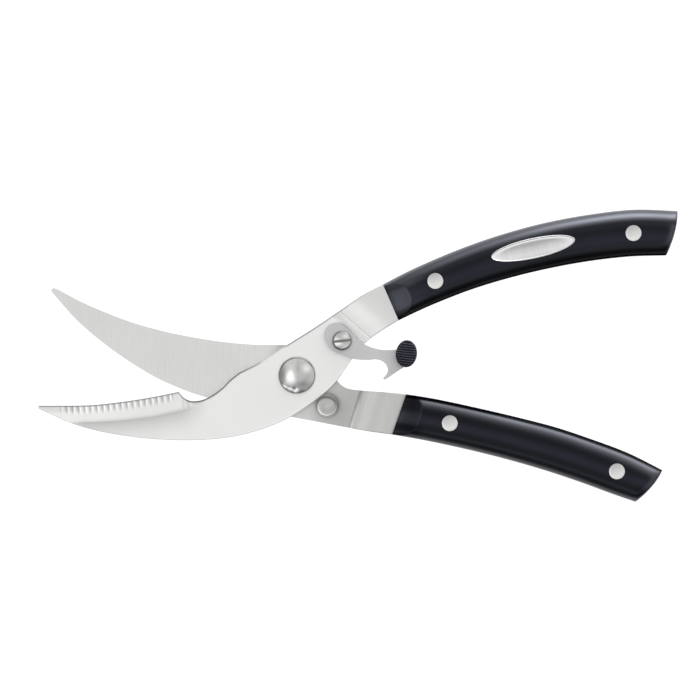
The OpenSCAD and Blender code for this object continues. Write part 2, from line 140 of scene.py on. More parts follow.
REAR_ANCHORS = [
    (-92.4, 31.8, -91.4, 32.8), (-88.9, 27.6, -87.4, 31.0), (-82.9, 21.0, -80.6, 27.5),
    (-74.5, 13.6, -71.6, 23.5), (-64.1, 6.0, -61.1, 19.6), (-52.9, -0.8, -49.9, 16.5),
    (-41.6, -5.8, -38.6, 14.2), (-31.9, -9.0, -28.1, 12.6), (-22.1, -11.8, -16.9, 11.6),
    (-14.6, -13.4, -7.9, 11.8), (-9.4, -14.4, 0, 12.3), (-4.9, -15.1, 6.0, 10.8),
    (-0.8, -15.8, 10.7, 7.4), (3.4, -16.6, 13.5, 3.2), (7.5, -17.4, 15.2, -2.0),
    (11.6, -18.2, 17.1, -4.1), (15.4, -18.9, 19.5, -5.1), (19.0, -19.6, 24.2, -5.7),
    (26.6, -21.0, 32.0, -6.3), (35.7, -22.2, 41.0, -7.1)]
# spacing of the rows along the edge: from x, to x, spacing
BASE_SPACING = 0.6
FRONT_SPACINGS = [(-90, -44, 0.16), (-44, -30, 0.35), (9, 17.5, 0.16)]
REAR_SPACINGS = [(-93, -24, 0.45), (15.5, 23, 0.2)]
# width of the ground bevel: x, then width
FRONT_BEVEL = ([-97, -90, -86, -77.6, -66, -55, -44.4, -42.7, -40.4, -38.2, -36.2, -34.4, -33.0, 50],
               [5.4, 6.0, 6.2, 6.3, 6.8, 7.2, 7.0, 4.5, 2.5, 1.7, 1.1, 0.6, 0.4, 0.4])
REAR_BEVEL = ([-92.4, -90, -86, -80, -64, -50, -40, -34, -29, -26, 50],
              [0.5, 1.6, 4.0, 7.0, 7.2, 7.2, 6.8, 5.2, 2.2, 0.4, 0.4])
# the line across each forging where its bolster begins
FRONT_STEP = ([15.7, 24.0], [27.3, 13.9])
REAR_STEP = ([24.1, -5.9], [19.8, -19.6])


# ---------------------------------------------------------------- curves
def unit(values):
    return np.clip(values, 0, 1)


def smoothstep(values):
    values = unit(values)
    return values * values * (3 - 2 * values)


def edge_drop(ratio):
    """Drop of a quarter-round edge: 1 at its border (ratio 0), 0 where it ends (ratio 1)."""
    return 1 - np.sqrt(1 - (1 - ratio) ** 2)


def spline(points, steps=16, closed=False):
    """Catmull-Rom curve through the points."""
    points = np.array(points, float)
    count = len(points)

    def point(i):
        return points[i % count if closed else min(max(i, 0), count - 1)]

    out = []
    for i in range(count if closed else count - 1):
        a, b, c, d = (point(i + k) for k in (-1, 0, 1, 2))
        for step in range(steps):
            t = step / steps
            out.append(0.5 * (2 * b + (c - a) * t + (2 * a - 5 * b + 4 * c - d) * t * t
                              + (3 * b - a - 3 * c + d) * t ** 3))
    if not closed:
        out.append(points[-1])
    return np.array(out)


class Path:
    """A polyline that is read by arc length."""

    def __init__(self, points):
        self.points = np.array(points, float)
        pieces = np.linalg.norm(np.diff(self.points, axis=0), axis=1)
        self.lengths = np.concatenate([[0], np.cumsum(pieces)])

    def at(self, length):
        return np.stack([np.interp(length, self.lengths, self.points[:, k]) for k in (0, 1)], -1)

    def length_near(self, target):
        """Arc length of the point nearest to the target."""
        target = np.array(target, float)
        start = self.points[:-1]
        run = self.points[1:] - start
        t = unit(((target - start) * run).sum(1) / np.maximum((run * run).sum(1), 1e-12))
        i = int(np.argmin(np.linalg.norm(start + run * t[:, None] - target, axis=1)))
        return self.lengths[i] + t[i] * np.linalg.norm(run[i])


def butt_direction(across):
    """Unit normal to a line across a handle, on its +X side."""
    normal = np.array([across[1], -across[0]]) / np.linalg.norm(across)
    return -normal if normal[0] < 0 else normal


def turned(points, centre, degrees):
    cos, sin = math.cos(math.radians(degrees)), math.sin(math.radians(degrees))
    return [(centre[0] + x * cos - y * sin, centre[1] + x * sin + y * cos) for x, y in points]


def ellipse(centre, radius_x, radius_y, tilt=0, count=96):
    angles = [2 * math.pi * k / count for k in range(count)]
    return turned([(radius_x * math.cos(a), radius_y * math.sin(a)) for a in angles], centre, tilt)


# ---------------------------------------------------------------- mesh helpers
def link(thing):
    scene.collection.objects.link(thing)
    return thing


def make(name, verts, faces, sharp=30.0):
    """A closed mesh from points in mm. Edges steeper than sharp degrees stay crisp."""
    mesh = bpy.data.meshes.new(name)
    mesh.from_pydata(((np.array(verts, float) + HOME) * MM).tolist(), [], faces)
    mesh.validate()
    thing = link(bpy.data.objects.new(name, mesh))
    tidy(thing, sharp)
    return thing


def tidy(thing, sharp):
    """Merges doubles, turns the normals outwards and marks crisp edges."""
    bm = bmesh.new()
    bm.from_mesh(thing.data)
    bmesh.ops.remove_doubles(bm, verts=bm.verts, dist=1e-7)
    bmesh.ops.dissolve_degenerate(bm, edges=bm.edges, dist=1e-8)
    bmesh.ops.recalc_face_normals(bm, faces=bm.faces)
    limit = math.radians(sharp)
    for face in bm.faces:
        face.smooth = True
    for edge in bm.edges:
        edge.smooth = not (len(edge.link_faces) == 2 and edge.calc_face_angle(0) > limit)
    bm.to_mesh(thing.data)
    bm.free()
    thing.data.update()


def cut(thing, *tools, sharp=30.0):
    """Cuts the tools out of the thing, then removes them."""
    for tool in tools:
        boolean = thing.modifiers.new("cut", "BOOLEAN")
        boolean.operation = "DIFFERENCE"
        boolean.solver = "EXACT"
        boolean.object = tool
    graph = bpy.context.evaluated_depsgraph_get()
    mesh = bpy.data.meshes.new_from_object(thing.evaluated_get(graph))
    thing.modifiers.clear()
    old = thing.data
    thing.data = mesh
    bpy.data.meshes.remove(old)
    for tool in tools:
        bpy.data.objects.remove(tool)
    tidy(thing, sharp)
    return thing


def ease_edges(thing, width):
    bevel = thing.modifiers.new("edge", "BEVEL")
    bevel.width = width * MM
    bevel.segments = 2
    bevel.limit_method = "ANGLE"
    bevel.angle_limit = math.radians(40)


def lathe(name, profile, count, centre=PIVOT):
    """Turns a closed profile of (radius, z) about a vertical axis."""
    verts, faces, rings = [], [], []
    for radius, z in profile:
        on_axis = radius < 1e-6
        circle = [centre] if on_axis else ellipse(centre, radius, radius, count=count)
        rings.append(list(range(len(verts), len(verts) + len(circle))))
        verts += [(x, y, z) for x, y in circle]
    for this, following in zip(rings, rings[1:] + rings[:1]):
        if len(this) == 1 and len(following) == 1:
            continue
        for k in range(count):
            face = [this[k % len(this)], this[(k + 1) % len(this)],
                    following[(k + 1) % len(following)], following[k % len(following)]]
            faces.append(list(dict.fromkeys(face)))
    return make(name, verts, faces)


def prism(name, outline, bottom, top):
    count = len(outline)
    verts = [(x, y, z) for z in (bottom, top) for x, y in outline]
    faces = [list(range(count))[::-1], list(range(count, 2 * count))]
    faces += [[i, (i + 1) % count, count + (i + 1) % count, count + i] for i in range(count)]
    return make(name, verts, faces)


def rod(centre, radius, bottom, top):
    """A round cutter."""
    return prism("cutter", ellipse(centre, radius, radius, count=64), bottom, top)


def loft(name, rings, sharp):
    """A skin over rings of equally many points, closed by a cap at each end."""
    size = len(rings[0])
    verts = [point for ring in rings for point in ring]
    last = len(verts) - size
    faces = [list(range(size))[::-1]]
    for first in range(0, last, size):
        for k in range(size):
            following = (k + 1) % size
            faces.append([first + k, first + following,
                          first + size + following, first + size + k])
    faces.append(list(range(last, len(verts))))
    return make(name, verts, faces, sharp)


def shell(name, plan, upper, lower, sharp):
    """A closed solid from a grid of plan points with an upper and a lower height."""
    rows, columns = plan.shape[:2]
    half = rows * columns
    verts = np.concatenate([np.dstack([plan, z]).reshape(-1, 3) for z in (upper, lower)])

    def at(i, j):
        return i * columns + j

    faces = []
    for i in range(rows - 1):
        for j in range(columns - 1):
            quad = [at(i, j), at(i + 1, j), at(i + 1, j + 1), at(i, j + 1)]
            faces.append(quad)
            faces.append([half + quad[k] for k in (0, 3, 2, 1)])
    end = columns - 1
    for i in range(rows - 1):
        faces.append([at(i, 0), half + at(i, 0), half + at(i + 1, 0), at(i + 1, 0)])
        faces.append([at(i, end), at(i + 1, end), half + at(i + 1, end), half + at(i, end)])
    end = rows - 1
    for j in range(columns - 1):
        faces.append([at(0, j), at(0, j + 1), half + at(0, j + 1), half + at(0, j)])
        faces.append([at(end, j), half + at(end, j), half + at(end, j + 1), at(end, j + 1)])
    return make(name, verts, faces, sharp)


# ---------------------------------------------------------------- painted light and shade, stored per point
def points_mm(thing):
    co = np.empty(len(thing.data.vertices) * 3)
    thing.data.vertices.foreach_get("co", co)
    return co.reshape(-1, 3) / MM - HOME


def paint(thing, shade, name="painted_light"):
    """Stores painted light and shade per point from its place in mm: 0 changes nothing, below 0
    darkens.
    """
    values = np.ones(len(thing.data.vertices), dtype=np.float32)
    values = np.asarray(shade(points_mm(thing)), dtype=np.float32) * values
    thing.data.attributes.new(name, "FLOAT", "POINT").data.foreach_set("value", values)
    thing.data.update()


def paint_near(thing, marks, extra=None):
    """Stores for every point the painted light and shade of the nearest mark, plus an extra painted
    shade.
    """
    places, tones = marks
    tree = KDTree(len(places))
    for i, place in enumerate(places):
        tree.insert(place, i)
    tree.balance()

    def shade(co):
        near = np.array([tones[tree.find(Vector(c))[1]] for c in co])
        return near + extra(co) if extra else near

    paint(thing, shade)


def local(co, centre, degrees=0):
    """x and y measured from a centre along axes turned by some degrees."""
    cos, sin = math.cos(math.radians(degrees)), math.sin(math.radians(degrees))
    x, y = co[:, 0] - centre[0], co[:, 1] - centre[1]
    return x * cos + y * sin, y * cos - x * sin


def spots(x, y, *rows):
    """Sum of soft spots; a row is amount, centre x, centre y, radius x, radius y."""
    return sum(amount * np.exp(-((x - mid_x) / radius_x) ** 2 - ((y - mid_y) / radius_y) ** 2)
               for amount, mid_x, mid_y, radius_x, radius_y in rows)


# ---------------------------------------------------------------- the two forgings
def stations(edge, spine, anchors, spacings):
    """Arc lengths of the rows along the edge and of their partners along the spine."""
    nudge = np.arange(len(anchors)) * 1e-6     # keeps the anchors in strict order
    edge_marks = np.array([edge.length_near(row[:2]) for row in anchors])
    spine_marks = np.array([spine.length_near(row[2:]) for row in anchors])
    edge_marks[0] = 0
    edge_marks = np.maximum.accumulate(edge_marks + nudge)
    spine_marks = np.maximum.accumulate(spine_marks + nudge)
    length, rows = 0.0, [0.0]
    while length < edge_marks[-1]:
        x = edge.at(length)[0]
        step = BASE_SPACING
        for x_from, x_to, spacing in spacings:
            if x_from <= x < x_to:
                step = spacing
        length += step
        rows.append(min(length, edge_marks[-1]))
    for mark in edge_marks:
        rows[int(np.argmin(np.abs(np.array(rows) - mark)))] = mark
    rows = np.unique(np.round(np.array(rows), 6))
    return rows, np.interp(rows, edge_marks, spine_marks)


def past_line(plan, line):
    """Distance past a line, growing to the left of its direction."""
    start, end = np.array(line, float)
    along = (end - start) / np.linalg.norm(end - start)
    return (plan - start) @ np.array([-along[1], along[0]])


def flutes(x):
    """Place within a flute, from 0 to 1, and how fully the flutes are formed at x."""
    phase = (x - FIRST_FLUTE_X + FLUTE_PITCH / 2) / FLUTE_PITCH
    formed = smoothstep((x + 90.5) / 4.5) * smoothstep((-46.5 - x) / 0.6)
    return phase - np.floor(phase), formed


def outer_height(at, fluted):
    """Outer face: tapered blade, ground bevel, then the raised crest and the bolster."""
    edge_thick, crest = 0.35, BLADE_THICK + 0.62
    dip, round_width, round_depth = 0.10, 0.4, 0.22
    flat = BLADE_THICK - (BLADE_THICK - TIP_THICK) * unit((-50 - at.past_step) / 85)
    rise = unit((at.past_step + 3.4) / 3.4)
    bolster = (crest - dip * smoothstep(at.past_step / 0.5)
               + (BOLSTER_OUT - crest) * smoothstep((at.past_step - 0.2) / 8.5))
    top = np.where(at.past_step < 0, flat + (crest - BLADE_THICK) * rise ** 2, bolster)
    # one plane through the grind line, which the notch only cuts away
    if fluted:
        grind = np.where(at.x < FRONT_EDGE[-1][0], at.bevel, 7.0)
    else:
        grind = np.maximum(at.bevel, 6.6)
    slope = 1 - unit((at.bevel - at.depth) / grind)
    ground = edge_thick + (flat - edge_thick) * slope ** 1.08
    rounded = top - round_depth * edge_drop(unit(at.depth / round_width))
    has_bevel = at.bevel > 0.45
    return np.where(has_bevel & (at.depth < at.bevel), np.minimum(top, ground),
                    np.where(has_bevel, top, rounded))


def inner_height(at, top, spine_ratio):
    """Inner face: flat against the other blade, then away to the bolster's inner face."""
    slope = (0.17 * smoothstep((at.past_step + 1.1) / 1.7)
             + 0.83 * smoothstep((at.past_step + 0.2) / 11.5))
    low = FACE_GAP - (BOLSTER_IN + FACE_GAP) * slope
    low = low + 0.004 * np.clip(at.past_step - 3.0, 0, 30) ** 2
    border = edge_drop(np.minimum(unit(at.depth / 0.4), spine_ratio))
    return np.minimum(low + 0.22 * np.where(at.past_step > 1, border, 0), top - 0.05)


def tang_plan(rails, columns):
    """Plan of the tang, set in from the handle's rails, with a bulged butt."""
    inset, bulge = 0.25, 0.35
    first, last = (spline(rail, 8) for rail in rails)
    across = last - first
    margin = inset * across / np.linalg.norm(across, axis=1)[:, None]
    first, last = first + margin, last - margin
    v = np.linspace(0, 1, columns)
    plan = first[:, None, :] + (last - first)[:, None, :] * v[None, :, None]
    out = 4 * bulge * v * (1 - v) - inset
    plan[-1] += butt_direction(across[-1])[None, :] * out[:, None]
    return plan


def forging(name, edge, spine, anchors, spacings, step_line, bevel, outward, fluted, rails, painted_light):
    """Blade, bolster and tang as one closed mesh, and the painted light and shade of its +Z face.

    outward is +1 if the outer face looks along +Z. The rails follow on from edge and spine.
    """
    spine_round = 0.3
    edge_rows, spine_rows = stations(edge, spine, anchors, spacings)
    start, end = edge.at(edge_rows), spine.at(spine_rows)
    width = np.linalg.norm(end - start, axis=1)[:, None]
    x = start[:, :1]
    ground = np.interp(x, *bevel)
    # columns from the edge: over the bevel, over the flat, round the spine
    split = np.minimum(np.maximum(np.minimum(ground, width - 0.35), 1.0), width * 0.6)
    depth = np.concatenate([
        np.linspace(0, 1, 27) * split,
        split + np.linspace(0, 1, 26)[1:] * (width - split - spine_round),
        width - spine_round + np.sin(np.linspace(0, 1, 7)[1:] * math.pi / 2) * spine_round], axis=1)
    plan = start[:, None, :] + (end - start)[:, None, :] * (depth / width)[:, :, None]
    flute, formed = flutes(x)
    at = SimpleNamespace(x=x, depth=depth, bevel=ground, across=depth / width, flute=flute,
                         formed=formed, past_step=past_line(plan, step_line))
    top = outer_height(at, fluted)
    if fluted:
        hollow = (1 - (2 * flute - 1) ** 2) * formed
        sunk = 0.16 * hollow * unit(1 - depth / 3.4) * unit(0.3 + depth / 0.6)
        top = np.maximum(top - sunk, FACE_GAP + 0.06)
        inset = 0.03 * hollow * unit(1 - depth / 1.5)
        plan = plan + ((end - start) / width)[:, None, :] * inset[:, :, None]
    spine_ratio = unit((width - depth) / spine_round)
    top = top - spine_round * edge_drop(spine_ratio)
    low = inner_height(at, top, spine_ratio)

    columns = plan.shape[1]
    tang = tang_plan(rails, columns)
    # a wall stands between the bolster and the thinner tang
    plan = np.concatenate([plan, plan[-1:] + 1e-4, tang])
    flat = np.full((1 + len(tang), columns), TANG_HALF)
    upper, lower = np.concatenate([top, flat]), np.concatenate([low, -flat])
    # painted light and shade for the blade's rows, none on the tang
    tones = np.concatenate([painted_light(at), 0 * flat]).reshape(-1)
    if outward < 0:
        upper, lower = -lower, -upper
    places = np.concatenate([np.dstack([plan, z]).reshape(-1, 3) for z in (upper, lower)])
    marks = places, np.concatenate([tones, 0 * tones])
    return shell(name, plan, upper, lower, sharp=26), marks


def front_painted_light(at):
    """Painted light and shade: shade in the hollow past the bevel and over the bevel, a dark line
    along the edge, light and dark marks on the flutes, a light strip along the spine and bands at
    the bolster's step.
    """
    past_bevel = at.depth - at.bevel
    hollow = np.interp(at.x, [-90, -86, -80, -46, -42, -40, -37, -33.5],
                       [0, 0.25, 1, 1, 0.85, 0.65, 0.4, 0])
    painted_light = hollow * np.interp(
        past_bevel, [-1.5, -0.8, -0.35, 0.15, 1, 2, 3, 4.5, 6, 8, 10],
        [0, -0.05, -0.15, -0.36, -0.29, -0.23, -0.18, -0.12, -0.07, -0.03, 0])
    bevel = np.interp(at.depth, [0.3, 2.0, 3.5], [-0.19, -0.16, -0.14])
    bevel = bevel - 0.10 * unit((-80 - at.x) / 4) * unit((3.2 - at.depth) / 1.5)
    painted_light = painted_light + bevel * unit(-past_bevel / 0.6) * unit(at.bevel - 0.5)
    flute = np.interp(at.flute, [0, 0.08, 0.2, 0.3, 0.45, 0.62, 0.8, 0.93, 1.0],
                      [-0.30, -0.02, 0.12, 0.06, -0.08, -0.12, -0.22, -0.31, -0.30])
    reach = np.interp(at.depth, [0, 0.5, 1.2, 1.9, 2.6, 3.4, 4.0],
                      [0.1, 0.8, 1, 0.95, 0.55, 0.15, 0])
    painted_light = painted_light + 0.9 * flute * at.formed * reach
    line = np.where((at.bevel > 3.0) & (at.x < -44.6),
                    np.interp(at.depth, [0, 0.3, 0.62], [-0.60, -0.50, 0]),
                    np.interp(at.depth, [0, 0.35, 0.6, 1.0], [-0.86, -0.78, -0.2, 0]))
    line = line * unit((14 - at.past_step) / 4) * np.interp(
        at.x, [-22, -14.5, -12.5, -5, -3.5, 4, 14, 24], [1, 0.6, 0.12, 0.12, 0.7, 0.72, 0.55, 0.2])
    spine = 0.13 * unit((at.across - 0.965) / 0.01) * unit(-at.past_step / 4)
    step = np.interp(
        at.past_step,
        [-3.4, -2.6, -1.6, -0.7, -0.05, 0.15, 0.45, 0.8, 1.5, 3, 4.5, 6, 7.5, 9, 11, 14],
        [0, -0.12, -0.14, 0.03, 0.25, -0.28, -0.30, -0.06, -0.08, -0.02, 0.03, 0.01, -0.07,
         -0.13, -0.16, -0.19])
    return (1 + painted_light) * (1 + line) * (1 + spine) * (1 + step) - 1


def rear_painted_light(at):
    """Painted light and shade: a soft dark band at the step, darkest at the spine and lighter
    towards the edge, then bands over the gently sloping bolster.
    """
    band = np.interp(
        at.past_step,
        [-24, -16, -10, -4, -1.5, -1.0, -0.5, 0.0, 0.5, 1.0, 1.5, 2.0, 2.5, 3.0, 3.5, 4.0, 5.0,
         6.0, 7.0, 8.0, 9.0, 10.0, 11.0, 13.0, 15.0, 16.5],
        [0, -0.06, -0.20, -0.30, -0.31, -0.29, -0.27, -0.04, -0.22, -0.30, -0.26, -0.21, -0.19,
         -0.08, -0.035, -0.05, 0.0, -0.055, -0.16, -0.21, -0.25, -0.21, -0.16, -0.16, -0.17, -0.27])
    near = np.interp(at.past_step, [-0.8, -0.1, 0.6, 1.1], [0, 1, 0.75, 0])
    return band + near * np.interp(at.across, [0.1, 0.4, 0.6, 0.8, 1.0],
                                   [0.18, 0.08, -0.04, -0.25, -0.32])


def under_painted_shade(co):
    """Painted shade: a dark patch on the rear blade just before it dips under the front one."""
    x, y = local(co, (-7.0, 10.0))
    return (spots(0.87 * x + 0.5 * y, -0.5 * x + 0.87 * y, (-0.24, 0, 0, 3.4, 1.0))
            + (co[:, 1] > 10.9) * spots(x, y, (-0.22, 1.5, 1, 3.4, 2)))


def drill(blade, groove_z, side_hole, rivets):
    """Cuts the pivot hole with a ring groove about it, one side hole and the rivet holes."""
    bottom, top = groove_z
    groove = lathe("groove", [(3.95, bottom), (6.6, bottom), (6.6, top), (3.95, top)], 72)
    cut(blade, rod(PIVOT, PIVOT_HOLE_R, -9, 9), groove, side_hole,
        *[rod(centre, RIVET_HOLE_R, -9, 9) for centre in rivets], sharp=26)


def front_forging():
    edge = [spline(FRONT_EDGE), spline(FRONT_NOTCH)[1:], spline(FRONT_BACK)[1:]]
    blade, marks = forging(
        "front_blade_steel", Path(np.vstack(edge)), Path(spline(FRONT_SPINE[::-1])),
        FRONT_ANCHORS, FRONT_SPACINGS, FRONT_STEP, FRONT_BEVEL, outward=1, fluted=True,
        rails=UPPER_RAILS, painted_light=front_painted_light)
    return blade, marks


def rear_forging():
    blade, marks = forging(
        "rear_blade_steel", Path(spline(REAR_EDGE[::-1])), Path(spline(REAR_SPINE)),
        REAR_ANCHORS, REAR_SPACINGS, REAR_STEP, REAR_BEVEL, outward=-1, fluted=False,
        rails=LOWER_RAILS[::-1], painted_light=rear_painted_light)
    return blade, marks


front_blade, front_marks = front_forging()
rear_blade, rear_marks = rear_forging()
drill(front_blade, (-1, 1.6), rod(SCREW, 2.03, 0.5, 9), UPPER_RIVETS)
drill(rear_blade, (-1.6, 1), rod(STUD, 2.02, -9, 9), LOWER_RIVETS)
paint_near(front_blade, front_marks)
paint_near(rear_blade, rear_marks, under_painted_shade)


# ---------------------------------------------------------------- handle scales
def crown(v, fullness):
    """Height across a scale, from 0 to 1; fullness shapes its +Y side."""
    power = np.where(v < 0.5, fullness, 2.5)
    return unit(1 - np.abs(2 * v - 1) ** power) ** (1 / power)


def handle_scale(name, rails, outward, bolster, rivets, has_badge=False, fullness=2.5):
    """A scale on one side of the tang; bolster is the height of the bolster it meets."""
    rows, bulge = 230, 0.95
    q = np.linspace(0, 1, rows)
    q = q - 0.012 * np.sin(2 * math.pi * q)
    ends = []
    for rail in rails:
        path = Path(spline(rail, 24))
        knots = [path.length_near(point) for point in rail]
        ends.append(path.at(np.interp(q, np.linspace(0, 1, len(rail)), knots)))
    start, end = ends
    cosine = np.cos(np.linspace(0, math.pi, 73))
    v = 0.5 - 0.5 * np.sign(cosine) * np.abs(cosine) ** 0.6
    middle = (start + end) / 2
    from_front = np.linalg.norm(middle - middle[0], axis=1)
    from_butt = np.linalg.norm(middle - middle[-1], axis=1)
    plan = start[:, None, :] + (end - start)[:, None, :] * v[None, :, None]
    butt = 4 * bulge * v * (1 - v) ** 1.15
    pull = unit(1 - from_butt / 6.0) ** 2
    out = butt_direction(end[-1] - start[-1])
    plan = plan + out[None, None, :] * (butt[None, :] * pull[:, None])[:, :, None]
    round_butt = 0.74 + 0.26 * np.sqrt(1 - unit(1 - from_butt / 3.2) ** 2)
    z = TANG_HALF + (GRIP_TOP - TANG_HALF) * crown(v, fullness)[None, :] * round_butt[:, None]
    run = (np.clip(from_front, 0, 60) / FACET_LENGTH) ** 1.3
    facet = (bolster + 0.12 + (GRIP_TOP - bolster) * run)[:, None]
    # the facet's border is slightly eased so that it catches a fine line of light
    ease = 0.25
    room = facet - z
    z = np.where(room >= ease, z,
                 np.where(room > -ease, z - (ease - room) ** 2, np.minimum(facet, z)))
    z = np.maximum(z, TANG_HALF + 0.02)
    upper, lower = z, np.full_like(z, TANG_HALF)
    if outward < 0:
        upper, lower = -lower, -upper
    scale = shell(name, plan, upper, lower, sharp=34)
    tools = [rod(centre, RIVET_R + 0.03, 0, 12 * outward) for centre in rivets]
    if has_badge:
        outline = ellipse(BADGE, BADGE_RX + 0.04, BADGE_RY + 0.04, BADGE_TILT)
        tools.append(prism("cutter", outline, GRIP_TOP - 0.9, 12))
    return cut(scale, *tools, sharp=34)


def across_handle(co, rails):
    """Place across a handle: 0 at the +Y rail, 1 at the -Y rail."""
    top, bottom = (np.interp(co[:, 0], *Path(spline(rail, 24)).points.T) for rail in rails)
    return (top - co[:, 1]) / np.maximum(top - bottom, 1)


def upper_grip_painted_light(co):
    """Painted light and shade: a faint paler streak below the middle as a painted sheen, and painted
    shade towards the -Y rail.
    """
    v = across_handle(co, UPPER_RAILS)
    return (np.interp(v, [0.40, 0.52, 0.64, 0.72, 0.80], [0, 0.6, 1, 0.6, 0])
            + np.interp(v, [0.74, 0.82, 0.92, 0.97, 1.0], [0, -0.45, -0.8, -1.0, -1.0]))


def lower_grip_painted_light(co):
    """Painted light and shade: a faint paler streak as a painted sheen, and a dark line along the +Y
    rail and a darker pivot end as painted shade.
    """
    nominal_width = 15.8
    x, v = co[:, 0], across_handle(co, LOWER_RAILS)
    streak = np.interp(v, [0.38, 0.48, 0.56, 0.64, 0.72], [0, 0.6, 0.95, 0.5, 0])
    below = np.interp(v, [0.60, 0.68, 0.76, 0.84, 0.90, 0.95, 1.0],
                      [0, -0.25, -0.40, -0.35, 0.1, -0.25, -0.40])
    rail_painted_shade = np.interp(v * nominal_width, [0.3, 0.9, 1.4], [-1.0, -0.95, 0])
    return (streak + below - 0.3 * unit((78 - x) / 20) * unit((0.4 - v) / 0.1)
            + rail_painted_shade - 0.35 * unit((48 - x) / 4))


def upper_grip_painted_highlight(co):
    """Painted highlight, raising the shine: a long streak along the +Y rail and the facet at the
    pivot end, with a darker band below the streak.
    """
    x, v = co[:, 0], across_handle(co, UPPER_RAILS)
    streak = np.interp(x, [38, 44, 60, 76, 92, 110, 122, 135],
                       [0.1, 0.45, 0.9, 0.9, 1.4, 1.6, 1.5, 0.8])
    streak = streak * np.exp(-((v - 0.142) / 0.055) ** 2)
    rail = np.interp(v, [-0.1, 0.01, 0.05, 0.09], [1.7, 1.6, 0.6, 0])
    painted_dark_band = 0.55 * np.exp(-((v - 0.27) / 0.06) ** 2)
    facet = np.interp(x, [40, 43, 50], [1, 1, 0]) * unit((0.95 - v) / 0.12)
    return streak + rail - painted_dark_band + 0.75 * facet * unit((v - 0.2) / 0.1)


upper_front = handle_scale("upper_front_grip", UPPER_RAILS, 1, BOLSTER_OUT, UPPER_RIVETS,
                           has_badge=True, fullness=2.1)
upper_rear = handle_scale("upper_rear_grip", UPPER_RAILS, -1, BOLSTER_IN, UPPER_RIVETS)
lower_front = handle_scale("lower_front_grip", LOWER_RAILS, 1, BOLSTER_IN, LOWER_RIVETS)
lower_rear = handle_scale("lower_rear_grip", LOWER_RAILS, -1, BOLSTER_OUT, LOWER_RIVETS)
# painted light and shade on the front scales, and a painted highlight on the upper one
paint(upper_front, upper_grip_painted_light)
paint(upper_front, upper_grip_painted_highlight, "painted_highlight")
paint(lower_front, lower_grip_painted_light)

# ---------------------------------------------------------------- rivets
# closed profiles: radius, z
SLEEVE = [(1.21, -5.0), (1.98, -5.0), (1.98, 3.2), (RIVET_R, 3.2), (RIVET_R, GRIP_TOP - 0.16),
          (RIVET_R - 0.06, GRIP_TOP - 0.05), (RIVET_R - 0.2, GRIP_TOP - 0.01),
          (2.2, GRIP_TOP + 0.03), (1.2, GRIP_TOP + 0.05), (0, GRIP_TOP + 0.06), (0, 5.6),
          (1.21, 5.6)]
PIN = [(0, -GRIP_TOP - 0.05), (1.2, -GRIP_TOP - 0.04), (2.4, -GRIP_TOP),
       (RIVET_R - 0.1, -GRIP_TOP + 0.05), (RIVET_R, -GRIP_TOP + 0.18), (RIVET_R, -5.1),
       (1.2, -5.1), (1.2, 4.6), (0, 4.6)]


def rivet_parts(name, profile, centres):
    """The same turned part at every centre, as one mesh."""
    verts, faces = [], []
    for part in [lathe("part", profile, 72, centre) for centre in centres]:
        first = len(verts)
        verts += list(points_mm(part))
        faces += [[first + i for i in face.vertices] for face in part.data.polygons]
        bpy.data.objects.remove(part)
    return make(name, verts, faces)


def rivet_painted_light(centres):
    """Painted light and shade: each head darkens towards +Y and -X."""
    def shade(co):
        slopes = []
        for centre in centres:
            x, y = local(co, centre)
            slopes.append(np.where(np.hypot(x, y) < 5, y - 0.45 * x, 99))
        return -0.095 * np.clip(np.min(slopes, axis=0), -4, 4)
    return shade


upper_sleeves = rivet_parts("upper_rivets_front", SLEEVE, UPPER_RIVETS)
lower_sleeves = rivet_parts("lower_rivets_front", SLEEVE, LOWER_RIVETS)
paint(upper_sleeves, rivet_painted_light(UPPER_RIVETS))
paint(lower_sleeves, rivet_painted_light(LOWER_RIVETS))
upper_pins = rivet_parts("upper_rivets_back", PIN, UPPER_RIVETS)
lower_pins = rivet_parts("lower_rivets_back", PIN, LOWER_RIVETS)


# ---------------------------------------------------------------- badge
def make_badge():
    """An oval plate with a raised rim."""
    rim, floor_z = 0.55, GRIP_TOP - 0.12
    # inset from the outline, z
    border = [(0.0, 6.62), (0.0, GRIP_TOP - 0.10), (0.10, GRIP_TOP + 0.02),
              (0.26, GRIP_TOP + 0.05), (0.42, GRIP_TOP - 0.02), (rim, floor_z)]
    sizes = [(BADGE_RX - inset, BADGE_RY - inset, z) for inset, z in border]
    sizes += [((BADGE_RX - rim) * f, (BADGE_RY - rim) * f, floor_z + 0.06 * (1 - f))
              for f in (0.75, 0.5, 0.25)]
    rings = [[(x, y, z) for x, y in ellipse(BADGE, radius_x, radius_y, BADGE_TILT, 128)]
             for radius_x, radius_y, z in sizes]
    return loft("badge_plate", rings, 30)


# painted reflection on the badge: its rim lighter towards +Y, its face lighter towards -Y and darker
# towards +Y
def badge_painted_light(co):
    x, y = local(co, BADGE, BADGE_TILT)
    x, y = x / BADGE_RX, y / BADGE_RY
    rim = np.interp(y, [-0.9, -0.3, 0.3, 0.9], [0.0, 0.3, 0.4, 0.8])
    face = np.interp(y, [-0.9, -0.4, 0.1, 0.5, 0.9], [0.20, 0.18, -0.04, -0.36, -0.16])
    return np.where(np.hypot(x, y) > 0.85, rim, face)


badge_plate = make_badge()
paint(badge_plate, badge_painted_light)


